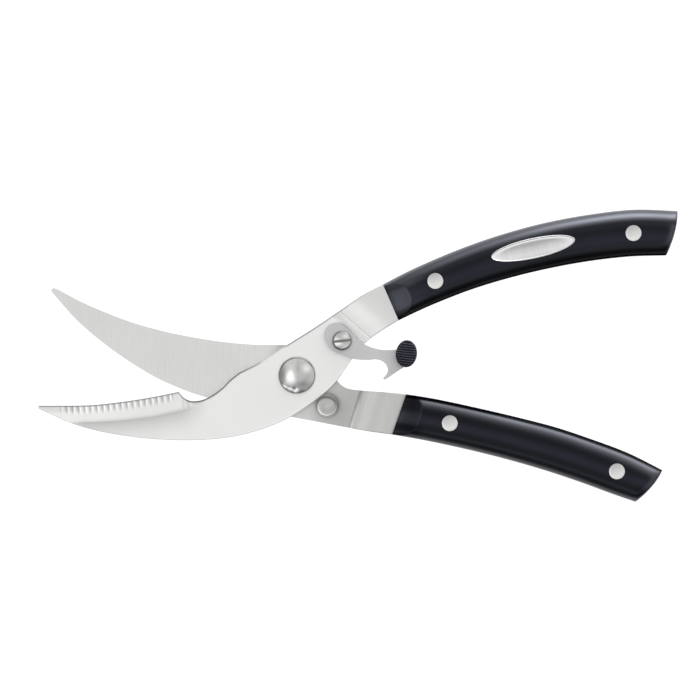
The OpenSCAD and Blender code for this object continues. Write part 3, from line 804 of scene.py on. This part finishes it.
# ---------------------------------------------------------------- pivot dome
def make_dome():
    """The bolt: a shank below a shallow dome with a short upright rim."""
    rim_z, cap_z = BLADE_THICK + 1.02, BLADE_THICK + 1.24
    cap_angle = 0.4363
    cap_r = (DOME_R - 0.14) / math.sin(cap_angle)
    profile = [(0, -6.4), (2.3, -6.4), (2.5, -6.2), (2.5, -3.9), (3.0, -3.9),
               (3.0, BLADE_THICK), (DOME_R - 0.2, BLADE_THICK), (DOME_R, BLADE_THICK + 0.15),
               (DOME_R, rim_z)]
    profile += [(DOME_R - 0.2 * (1 - math.cos(a)), rim_z + 0.2 * math.sin(a))
                for a in np.linspace(0.2, 1.1, 5)]
    profile += [(cap_r * math.sin(a), cap_z + cap_r * (math.cos(a) - math.cos(cap_angle)))
                for a in np.linspace(cap_angle, 0, 60)]
    return lathe("pivot_dome", profile, 240)


def dome_painted_reflection(co):
    """Painted reflection of the studio: a tall light, a paler patch, a darker band, a bright glint
    at the -X -Y rim, and a rim darker towards +Y.
    """
    x, y = local(co, PIVOT)
    radius = np.hypot(x, y)
    painted_light = spots(x, y, (0.30, -2.3, 0.8, 0.9, 2.2), (-0.12, 0.3, 2.8, 0.8, 2.0),
                 (0.28, 3.6, 2.6, 1.5, 1.4), (0.35, 1.6, -5.0, 2.4, 0.9))
    painted_light = painted_light - 0.13 * unit((x + 0.6) / 1.2)
    painted_light = painted_light + spots(x, y, (-0.22, -5.2, 0.2, 1.1, 3.0)) * (y > -3)
    painted_light = painted_light + spots(0.8 * x - 0.6 * y, 0.6 * x + 0.8 * y, (-0.20, 3.6, -0.4, 1.1, 2.4))
    low_light = np.interp(-y, [3.0, 3.6, 4.7, 5.5, 6.0], [0, 0.12, 0.35, 0.95, 1.25])
    painted_light = painted_light + low_light * unit((x + 0.6) / 0.3)
    border = np.where(x < -1.9, -3.6 - 0.42 * (x + 4.5), -4.7 - 0.6 * (x + 1.9))
    below = border - y
    painted_glint = (x < 0.6) & (radius < 6.45)
    painted_light = np.where(painted_glint & (below > 0.1), 1.45 + spots(x, y, (0.2, -0.4, -5.6, 0.6, 0.5)), painted_light)
    painted_light = np.where(painted_glint & (np.abs(below + 0.05) <= 0.15), -0.45, painted_light)
    painted_light = painted_light + spots(x, y, (-0.75, -0.8, -4.65, 0.75, 0.36))
    return painted_light + np.where(radius > 6.3, 0.15 - 0.65 * unit((y - 2.0) / 1.5), 0)


dome = make_dome()
paint(dome, dome_painted_reflection)


# ---------------------------------------------------------------- latch screw
def make_screw():
    """A slotted screw whose collar passes through the lever."""
    seat = SCREW_SEAT
    profile = [(0, 0.7), (2.0, 0.7), (2.0, BLADE_THICK), (2.6, BLADE_THICK), (2.6, seat),
               (3.5, seat), (3.6, seat + 0.1), (3.6, seat + 1.2), (3.52, seat + 1.38),
               (3.3, seat + 1.56)]
    profile += [(r, seat + 1.95 - 0.25 * (r / 2.9) ** 2) for r in np.linspace(2.9, 0, 20)]
    screw = lathe("latch_screw_steel", profile, 128, SCREW)
    outline = [(-5, -0.47), (5, -0.47), (5, 0.47), (-5, 0.47)]
    outline = turned(outline, (SCREW[0], SCREW[1] - 0.1), 6)
    return cut(screw, prism("cutter", outline, seat + 0.85, seat + 4))


# painted reflection on the screw head: light and dark spots and a rim darker towards +Y, with
# painted shade in the slot and below the head's top
def screw_painted_reflection(co):
    x, y = local(co, SCREW)
    painted_light = spots(x, y, (0.62, 1.2, 1.6, 1.2, 0.8), (0.5, -0.7, -1.15, 0.9, 0.35),
                 (0.3, -1.2, 0.75, 0.7, 0.25), (-0.5, -1.4, -2.7, 1.2, 0.8),
                 (0.5, 1.6, -2.7, 1.3, 0.9), (-0.08, -1.2, 1.8, 1.4, 1.0))
    painted_light = painted_light - np.where(np.hypot(x, y) > 3.2, 0.45 * unit(y / 3.6) + 0.15, 0)
    return np.where(co[:, 2] < SCREW_SEAT + 1.15, -0.60, painted_light)


screw_head = make_screw()
paint(screw_head, screw_painted_reflection)
ease_edges(screw_head, 0.07)


# ---------------------------------------------------------------- catch stud
def make_stud():
    """A stud with a neck level with the lever and a flat head above it."""
    neck, head = LEVER_BOTTOM - 0.1, LEVER_TOP + 0.15
    profile = [(0, -3.2), (1.99, -3.2), (1.99, -FACE_GAP), (2.4, -FACE_GAP), (2.4, neck),
               (2.0, neck), (2.0, head), (STUD_R - 0.3, head), (STUD_R, head + 0.28),
               (STUD_R, head + 1.36), (STUD_R - 0.12, head + 1.56), (STUD_R - 0.42, head + 1.74),
               (STUD_R - 0.52, head + 1.76), (2.8, head + 1.75), (1.6, head + 1.77),
               (0, head + 1.79)]
    return lathe("catch_stud_steel", profile, 128, STUD)


# painted reflection on the stud: its rim darker towards +Y and lighter towards -X and -Y, with soft
# light and dark spots on its face
def stud_painted_reflection(co):
    x, y = local(co, STUD)
    x, y = x / STUD_R, y / STUD_R
    rim = -0.82 * unit(y) ** 0.7 + 0.22 * np.clip(-x, -1, 1) + unit(-y)
    face = -0.13 + spots(x, y, (0.12, 0.3, 0.3, 0.35, 0.35), (0.10, 0.0, 0.0, 0.16, 0.16),
                         (-0.16, -0.3, -0.05, 0.25, 0.5), (-0.10, 0.2, -0.25, 0.3, 0.2),
                         (-0.12, 0.65, -0.1, 0.15, 0.4))
    return np.where(np.hypot(x, y) > 0.85, rim, face)


stud = make_stud()
paint(stud, stud_painted_reflection)


# ---------------------------------------------------------------- lever and knob
def make_lever():
    outline = spline(LEVER_OUTLINE, 6, closed=True) + np.array(SCREW)
    plate = prism("lever_plate", outline, LEVER_BOTTOM, LEVER_TOP)
    return cut(plate, rod(SCREW, 2.65, 0, 20), rod(KNOB_STEM, 1.05, 0, 20))


# painted light: the lever's brightness varies gently along X
def lever_painted_light(co):
    return np.interp(co[:, 0], [10, 14.5, 17, 24, 28, 31.5, 34, 37, 39],
                     [0.0, -0.01, -0.02, -0.01, 0.04, 0.05, 0.0, -0.05, -0.1])


def rib_wave(y):
    """1 on a rib's ridge, 0 in the groove between two."""
    return 0.5 + 0.5 * np.cos(2 * math.pi * y / RIB_PITCH)


def knob_ring(radius_x, radius_y, centre, z, ribbed=False):
    flat = ellipse((0, 0), radius_x, radius_y, count=120)
    rib_depth = 0.42 * smoothstep((1 - min(radius_x / KNOB_RX, 1.0)) / 0.16) if ribbed else 0
    return [(x, y, z - rib_depth * (1 - rib_wave(flat_y) ** 3))
            for (x, y), (_, flat_y) in zip(turned(flat, centre, KNOB_TILT), flat)]


def make_knob():
    """An oval pad on a round stem, with rounded shoulders and ribs across its top."""
    shrink, wall, shoulder, crown_rise = 0.16, 2.5, 1.2, 0.3
    base = LEVER_TOP
    rings = [knob_ring(2.1, 2.1, KNOB_STEM, base), knob_ring(2.1, 2.1, KNOB_STEM, base + 1.0),
             knob_ring(3.75, 4.8, KNOB, base + 1.0), knob_ring(KNOB_RX, KNOB_RY, KNOB, base + 1.3),
             knob_ring(KNOB_RX, KNOB_RY, KNOB, base + wall)]
    for part in np.linspace(0, 1, 9)[1:]:
        angle = part * math.pi / 2
        f = 1 - shrink * (1 - math.cos(angle))
        z = base + wall + shoulder * math.sin(angle)
        rings.append(knob_ring(KNOB_RX * f, KNOB_RY * f, KNOB, z, ribbed=True))
    inner = 1 - shrink
    for f in np.linspace(inner, 0.02, 44)[1:]:
        z = base + wall + shoulder + crown_rise * (1 - (f / inner) ** 2)
        rings.append(knob_ring(KNOB_RX * f, KNOB_RY * f, KNOB, z, ribbed=True))
    pad = loft("knob_pad", rings, 50)
    return cut(pad, rod(KNOB_STEM, 1.01, 0, base + 2.21), sharp=50)


def knob_painted_highlight(co):
    """Painted highlights on the ridges of the ribs."""
    x, y = local(co, KNOB, KNOB_TILT)
    inside = unit((0.97 - np.hypot(x / KNOB_RX, y / KNOB_RY)) / 0.15)
    return rib_wave(y) ** 6 * inside * (co[:, 2] > LEVER_TOP + 3.0)


lever = make_lever()
paint(lever, lever_painted_light)
ease_edges(lever, 0.14)
knob_pad = make_knob()
paint(knob_pad, knob_painted_highlight)


# ---------------------------------------------------------------- spring
def make_spring():
    """A coil about the pivot with an upright leg at each end."""
    radius, turns, height, wire_r, leg_z = 5.25, 2, 1.9, 0.45, 2.45
    sides, steps = 14, 150
    leg_start = height / 2 + 0.25
    centres = [(0, radius, z) for z in np.linspace(-leg_z, -leg_start, 6)]
    for i in range(steps + 1):
        angle = math.pi / 2 + 2 * math.pi * turns * i / steps
        centres.append((radius * math.cos(angle), radius * math.sin(angle),
                        -height / 2 + height * i / steps))
    centres += [(0, radius, z) for z in np.linspace(leg_start, leg_z, 6)]
    centres = np.array(centres)
    tangents = np.gradient(centres, axis=0)
    tangents /= np.linalg.norm(tangents, axis=1)[:, None]
    rings = []
    normal = np.array([0, 1.0, 0])
    for centre, tangent in zip(centres, tangents):
        normal = normal - tangent * (normal @ tangent)
        normal /= np.linalg.norm(normal)
        side = np.cross(tangent, normal)
        angles = [2 * math.pi * k / sides for k in range(sides)]
        rings.append([centre + wire_r * (math.cos(a) * normal + math.sin(a) * side)
                      for a in angles])
    return loft("spring_coil", rings, 50)


coil = make_spring()


# ---------------------------------------------------------------- shader nodes
def feed(tree, target, inputs):
    """Links each input that is given a socket and sets the others."""
    for key, value in inputs.items():
        if isinstance(value, bpy.types.NodeSocket):
            tree.links.new(value, target.inputs[key])
        else:
            target.inputs[key].default_value = value


def node(tree, kind, inputs={}, out=0, **settings):
    """Adds a node and returns one of its outputs."""
    added = tree.nodes.new("ShaderNode" + kind)
    for key, value in settings.items():
        setattr(added, key, value)
    feed(tree, added, inputs)
    return added.outputs[out]


def arithmetic(tree, operation, a, b):
    return node(tree, "Math", {0: a, 1: b}, operation=operation)


def remap(tree, source, span, to, smooth=False):
    return node(tree, "MapRange", {"Value": source, "From Min": span[0], "From Max": span[1],
                                   "To Min": to[0], "To Max": to[1]},
                interpolation_type="SMOOTHSTEP" if smooth else "LINEAR")


def vary(tree, noise, middle, share):
    """A value that a noise moves by a share to either side of its middle."""
    return remap(tree, noise, (0.3, 0.7), (middle * (1 - share), middle * (1 + share)))


def noise_of(tree, place, scale, detail):
    return node(tree, "TexNoise", {"Vector": place, "Scale": scale, "Detail": detail}, out="Fac")


def stored(tree, name):
    return node(tree, "Attribute", out="Fac", attribute_name=name)


def bump_of(tree, height, strength):
    return node(tree, "Bump", {"Strength": strength, "Distance": 0.00003, "Height": height})


def axis_distance(tree, place, centre, scale):
    """Distance from a vertical axis at a centre in mm, times a scale."""
    corner = ((centre[0] + HOME[0]) * MM, (centre[1] + HOME[1]) * MM, 0)
    offset = node(tree, "VectorMath", {0: place, 1: corner}, operation="SUBTRACT")
    flat = node(tree, "VectorMath", {0: offset, 1: (scale, scale, 0)}, operation="MULTIPLY")
    return node(tree, "VectorMath", {0: flat}, out="Value", operation="LENGTH")


def material(name):
    made = bpy.data.materials.new(name)
    made.use_nodes = True
    return made, made.node_tree, made.node_tree.nodes["Principled BSDF"]


def painted_shadow_ring(tree, factor, place, centre, start, peak, end, amount):
    """Paints a shadow ring: lowers a factor in a ring about a centre; its radii are in mm."""
    distance = axis_distance(tree, place, centre, 1 / MM)
    rise = remap(tree, distance, (start, peak), (0.0, amount), smooth=True)
    fall = remap(tree, distance, (peak, end), (1.0, 0.0), smooth=True)
    kept = arithmetic(tree, "SUBTRACT", 1.0, arithmetic(tree, "MULTIPLY", rise, fall))
    return arithmetic(tree, "MULTIPLY", factor, kept)


def steel(name, colour, roughness, across, streak, bump, turn=0.0, along=None, centre=None,
          cloud=0.05, rings=()):
    """Ground steel with fine streaks and soft clouding.

    Streaks run at turn degrees from X, or in circles about a centre. along and across are
    their noise scales, streak and cloud their contrasts; rings are painted shadow rings.
    """
    made, tree, shader = material(name)
    place = node(tree, "TexCoord", out="Object")
    if centre is None:
        lined = node(tree, "Mapping", {"Rotation": (0, 0, math.radians(-turn)), "Vector": place})
        lined = node(tree, "Mapping", {"Scale": (along, across, along), "Vector": lined})
    else:
        distance = axis_distance(tree, place, centre, 1)
        lined = node(tree, "CombineXYZ", {0: arithmetic(tree, "MULTIPLY", distance, across)})
    streaks = noise_of(tree, lined, scale=1.0, detail=3.0)
    clouds = noise_of(tree, place, scale=90.0, detail=4.0)
    factor = arithmetic(tree, "MULTIPLY", vary(tree, streaks, 1, streak),
                        vary(tree, clouds, 1, cloud))
    # the colour is scaled by the stored painted light and shade
    painted_light = arithmetic(tree, "ADD", stored(tree, "painted_light"), 1.0)
    factor = arithmetic(tree, "MULTIPLY", factor, painted_light)
    for ring in rings:
        factor = painted_shadow_ring(tree, factor, place, **ring)
    shade = node(tree, "VectorMath", {0: colour, "Scale": factor}, operation="SCALE")
    feed(tree, shader, {"Base Color": shade, "Metallic": 1.0,
                        "Roughness": vary(tree, streaks, roughness, 0.1),
                        "Normal": bump_of(tree, streaks, bump)})
    return made


def plastic(name, colour, roughness, grain, bump, shine, grazing_shine, painted_sheen_lift):
    """Dark plastic. Stored painted light above 0 lightens it, up to the given lift times, as a
    painted sheen; below 0 it dulls its shine as painted shade. A stored painted highlight raises its
    shine.
    """
    made, tree, shader = material(name)
    place = node(tree, "TexCoord", out="Object")
    grains = noise_of(tree, place, scale=grain, detail=3.0)
    clouds = noise_of(tree, place, scale=70.0, detail=5.0)
    painted_light = stored(tree, "painted_light")
    lift = remap(tree, painted_light, (0.0, 1.0), (1.0, painted_sheen_lift))
    factor = arithmetic(tree, "MULTIPLY", vary(tree, clouds, 1, 0.12), lift)
    shade = node(tree, "VectorMath", {0: colour, "Scale": factor}, operation="SCALE")
    facing = node(tree, "LayerWeight", out="Facing")
    gleam = remap(tree, facing, (0.0, 0.08), (shine, grazing_shine), smooth=True)
    gleam = arithmetic(tree, "MULTIPLY", gleam, remap(tree, painted_light, (-1.0, 0.0), (0.0, 1.0)))
    painted_highlight = arithmetic(tree, "ADD", stored(tree, "painted_highlight"), 1.0)
    feed(tree, shader, {"Base Color": shade,
                        "Specular IOR Level": arithmetic(tree, "MULTIPLY", gleam, painted_highlight),
                        "Specular Tint": (0.83, 0.87, 1.0, 1.0),
                        "Roughness": vary(tree, clouds, roughness, 0.08),
                        "Normal": bump_of(tree, grains, bump)})
    return made


# the rings in these materials are painted shadow rings: round the dome on the front blade and at its
# rim, round the stud on the rear blade, and at the screw and stud heads
MATERIALS = {
    "front": steel("front_satin", colour=(0.797, 0.797, 0.789), roughness=0.45, turn=12,
                   along=120, across=1500, streak=0.015, bump=0.05, cloud=0.01,
                   rings=[dict(centre=PIVOT, start=6.4, peak=6.75, end=7.3, amount=0.35)]),
    "rear": steel("rear_satin", colour=(0.665, 0.663, 0.652), roughness=0.45, turn=90,
                  along=110, across=1900, streak=0.045, bump=0.07, cloud=0.012,
                  rings=[dict(centre=(STUD[0] + 0.1, STUD[1] + 0.55), start=3.5, peak=3.95,
                              end=5.5, amount=0.36)]),
    "polish": steel("polished", colour=(0.58, 0.58, 0.575), roughness=0.17, turn=80,
                    along=300, across=700, streak=0.03, bump=0.02, cloud=0.04,
                    rings=[dict(centre=PIVOT, start=6.3, peak=6.62, end=9.0, amount=0.5)]),
    "screw": steel("screw_steel", colour=(0.56, 0.56, 0.55), roughness=0.2, centre=SCREW,
                   across=3500, streak=0.05, bump=0.08, cloud=0.22,
                   rings=[dict(centre=SCREW, start=3.1, peak=3.55, end=9.0, amount=0.4)]),
    "stud": steel("stud_steel", colour=(0.465, 0.465, 0.455), roughness=0.3, centre=STUD,
                  across=3800, streak=0.13, bump=0.1, cloud=0.2,
                  rings=[dict(centre=STUD, start=2.7, peak=3.2, end=3.5, amount=0.12),
                         dict(centre=STUD, start=3.7, peak=3.9, end=9.0, amount=0.3)]),
    "lever": steel("lever_steel", colour=(0.555, 0.555, 0.56), roughness=0.5, turn=-20,
                   along=900, across=1400, streak=0.02, bump=0.05, cloud=0.01),
    "dark": steel("spring_steel", colour=(0.32, 0.31, 0.31), roughness=0.35,
                  along=400, across=1600, streak=0.06, bump=0.05),
    "turned": steel("turned_steel", colour=(0.62, 0.62, 0.61), roughness=0.28, centre=PIVOT,
                    across=3000, streak=0.06, bump=0.1),
    "rivet": steel("rivet_steel", colour=(0.62, 0.62, 0.61), roughness=0.35, turn=20,
                   along=300, across=2600, streak=0.03, bump=0.05, cloud=0.02),
    "badge": steel("badge_steel", colour=(0.60, 0.60, 0.60), roughness=0.36, turn=102,
                   along=60, across=2600, streak=0.05, bump=0.08, cloud=0.03),
    "grip": plastic("grip_plastic", colour=(0.0021, 0.0021, 0.0035), roughness=0.33, grain=2400,
                    bump=0.03, shine=0.16, grazing_shine=0.85, painted_sheen_lift=7.0),
    "knob": plastic("knob_plastic", colour=(0.0028, 0.0028, 0.0042), roughness=0.38, grain=3000,
                    bump=0.06, shine=0.2, grazing_shine=0.4, painted_sheen_lift=36.0),
}


def dress(thing, look):
    thing.data.materials.clear()
    thing.data.materials.append(look)


# ---------------------------------------------------------------- hand the pieces to the frame
# piece, the node it replaces, the body it rides on, its material
PIECES = [
    (front_blade, "front_blade", "front_half", "front"),
    (rear_blade, "rear_blade", "rear_half", "rear"),
    (dome, "pivot_bolt", "front_half", "polish"),
    (screw_head, "latch_screw", "front_half", "screw"),
    (stud, "catch_stud", "rear_half", "stud"),
    (lever, "latch_lever", "latch", "lever"),
    (knob_pad, "latch_knob", "latch", "knob"),
    (upper_front, "upper_front_scale", "front_half", "grip"),
    (upper_rear, "upper_rear_scale", "front_half", "grip"),
    (lower_front, "lower_front_scale", "rear_half", "grip"),
    (lower_rear, "lower_rear_scale", "rear_half", "grip"),
    (upper_sleeves, "upper_rivet_sleeves", "front_half", "rivet"),
    (upper_pins, "upper_rivet_pins", "front_half", "rivet"),
    (lower_sleeves, "lower_rivet_sleeves", "rear_half", "rivet"),
    (lower_pins, "lower_rivet_pins", "rear_half", "rivet"),
    (badge_plate, "handle_badge", "front_half", "badge"),
]
for piece, replaced, body, look in PIECES:
    dress(piece, MATERIALS[look])
    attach(piece, body)
    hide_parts(replaced)
dress(coil, MATERIALS["dark"])
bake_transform(coil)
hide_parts("pivot_spring")
# pieces of the frame that keep their own mesh
for kept, look in (("pivot_nut", "turned"), ("pivot_lock_washer", "dark"),
                   ("latch_spring_washer", "dark"), ("latch_knob_rivet", "rivet")):
    dress(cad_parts[kept], MATERIALS[look])


# ---------------------------------------------------------------- floor, light, camera (metres)
def floor_paper():
    """Pale paper that glows a little."""
    made, tree, shader = material("floor_paper")
    place = node(tree, "TexCoord", out="Object")
    noise = node(tree, "TexNoise", {"Vector": place, "Scale": 40.0}, out="Fac")
    grey = remap(tree, noise, (0.0, 1.0), (0.225, 0.235))
    colour = node(tree, "CombineColor", {"Red": grey, "Green": grey, "Blue": grey})
    feed(tree, shader, {"Base Color": colour, "Roughness": 0.9, "Specular IOR Level": 0.1,
                        "Emission Color": (1, 1, 1, 1), "Emission Strength": 0.95})
    return made


def make_floor(half=3.0, z=-0.0001):
    look = floor_paper()
    mesh = bpy.data.meshes.new("floor")
    corners = [(-half, -half, z), (half, -half, z), (half, half, z), (-half, half, z)]
    mesh.from_pydata(corners, [], [(0, 1, 2, 3)])
    floor = link(bpy.data.objects.new("floor", mesh))
    dress(floor, look)


# strength by height of the direction, 0 straight down and 1 straight up: height, strength
SKY = [(0.0, 0.05), (0.49, 0.08), (0.53, 0.45), (0.60, 0.62), (0.75, 0.85), (0.85, 0.95),
       (1.0, 0.95)]
# darker sides: axis, where the dimming is full, where it ends, what it leaves
DIM_SIDES = [("Y", -0.50, -0.20, 0.50), ("Y", -0.80, -0.45, 0.10), ("X", -0.78, -0.42, 0.40)]
# soft boxes: direction, cosine at the border, cosine at the core, strength
BOXES = [
    ((0.30, 0.95, 0.08), 0.80, 0.966, 4.6),      # long and low, towards +Y
    ((0.80, 0.60, 0.20), 0.85, 0.98, 0.9),       # low, towards +X
    ((-0.33, -0.02, 0.94), 0.965, 0.992, 0.60),  # the others are small and high
    ((-0.31, -0.25, 0.92), 0.955, 0.992, 0.55),
    ((0.43, 0.36, 0.83), 0.955, 0.99, 0.20),
    ((-0.05, -0.68, 0.73), 0.990, 0.998, 1.1),
    ((-0.30, -0.60, 0.74), 0.990, 0.997, 0.6),
    ((-0.54, -0.46, 0.70), 0.990, 0.997, 0.6),
]


def make_world():
    world = bpy.data.worlds.new("studio")
    scene.world = world
    world.use_nodes = True
    tree = world.node_tree
    direction = node(tree, "TexCoord", out="Generated")
    axes = tree.nodes.new("ShaderNodeSeparateXYZ")
    feed(tree, axes, {0: direction})
    sky = tree.nodes.new("ShaderNodeValToRGB")
    stops = sky.color_ramp.elements
    stops[0].color = (SKY[0][1],) * 3 + (1,)
    stops[1].color = (SKY[-1][1],) * 3 + (1,)
    for height, strength in SKY[1:-1]:
        stops.new(height).color = (strength,) * 3 + (1,)
    feed(tree, sky, {0: remap(tree, axes.outputs["Z"], (-1.0, 1.0), (0.0, 1.0))})
    total = sky.outputs["Color"]
    for axis, full, end, left in DIM_SIDES:
        dim = remap(tree, axes.outputs[axis], (full, end), (left, 1.0), smooth=True)
        total = arithmetic(tree, "MULTIPLY", total, dim)
    for aim, border, core, strength in BOXES:
        cosine = node(tree, "VectorMath", {0: direction, 1: Vector(aim).normalized()},
                      out="Value", operation="DOT_PRODUCT")
        box = remap(tree, cosine, (border, core), (0.0, strength), smooth=True)
        total = arithmetic(tree, "ADD", total, box)
    feed(tree, tree.nodes["Background"], {"Strength": total, "Color": (1, 1, 1, 1)})


def make_key(place=(-0.3, 0.7, 1.3), aim=(0.0, 0.0, 0.0), size=(0.8, 0.6), power=2):
    lamp = bpy.data.lights.new("key", "AREA")
    lamp.shape = "RECTANGLE"
    lamp.size, lamp.size_y = size
    lamp.energy = power
    key = link(bpy.data.objects.new("key", lamp))
    key.location = place
    key.rotation_euler = (Vector(aim) - Vector(place)).to_track_quat("-Z", "Y").to_euler()
    key.visible_glossy = False


def make_camera(middle=(19.9, 9.5), view_width=0.2625, focus_z=0.0085):
    """Looks straight down; view_width is what it sees at the height focus_z."""
    lens = bpy.data.cameras.new("camera")
    lens.lens = 300
    lens.sensor_width = 36
    lens.clip_start, lens.clip_end = 0.1, 20
    camera = link(bpy.data.objects.new("camera", lens))
    camera.location = ((middle[0] + HOME[0]) * MM, (middle[1] + HOME[1]) * MM,
                       focus_z + view_width * 300 / 36)
    scene.camera = camera


make_floor()
make_world()
make_key()
make_camera()
scene.view_settings.view_transform = "Standard"
scene.view_settings.look = "None"
